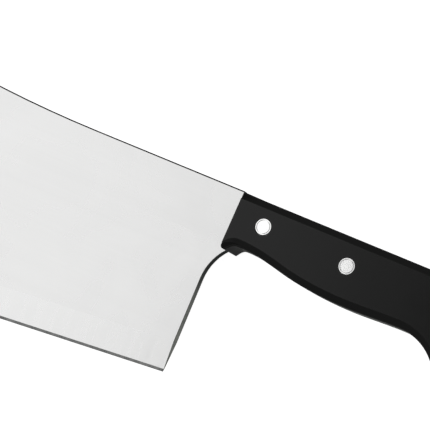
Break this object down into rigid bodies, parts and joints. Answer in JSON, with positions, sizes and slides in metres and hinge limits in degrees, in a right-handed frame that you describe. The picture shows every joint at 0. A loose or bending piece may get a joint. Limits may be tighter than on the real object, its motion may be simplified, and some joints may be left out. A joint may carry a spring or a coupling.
{
  "type": "meat cleaver",
  "caption": "Heavy butcher's cleaver with a broad flat steel blade, full tang and riveted black plastic scales, hung by a hole near the front of the spine.",
  "frame": {"origin": "middle of the outline's bounding box, on the flat face of the back scale, with the cleaver lying on its side", "axes": "+X along the length towards the butt of the grip, +Y towards the spine, +Z square to the blade and out of the front scale"},
  "size_m": [0.301, 0.0992, 0.018],
  "materials": {
    "blade_steel": "fine satin, mirror-like at a glance, with coarser ground bevels, spine and heel",
    "grip_plastic": "moulded black plastic with a soft satin sheen",
    "rivet_metal": "bright, ground flush with the scales"
  },
  "bodies": {
    "root": {"blade": "blade_steel", "front_scale": "grip_plastic", "back_scale": "grip_plastic", "front_rivet_sleeve": "rivet_metal", "front_rivet_post": "rivet_metal", "middle_rivet_sleeve": "rivet_metal", "middle_rivet_post": "rivet_metal", "rear_rivet_sleeve": "rivet_metal", "rear_rivet_post": "rivet_metal"}
  },
  "joints": []
}
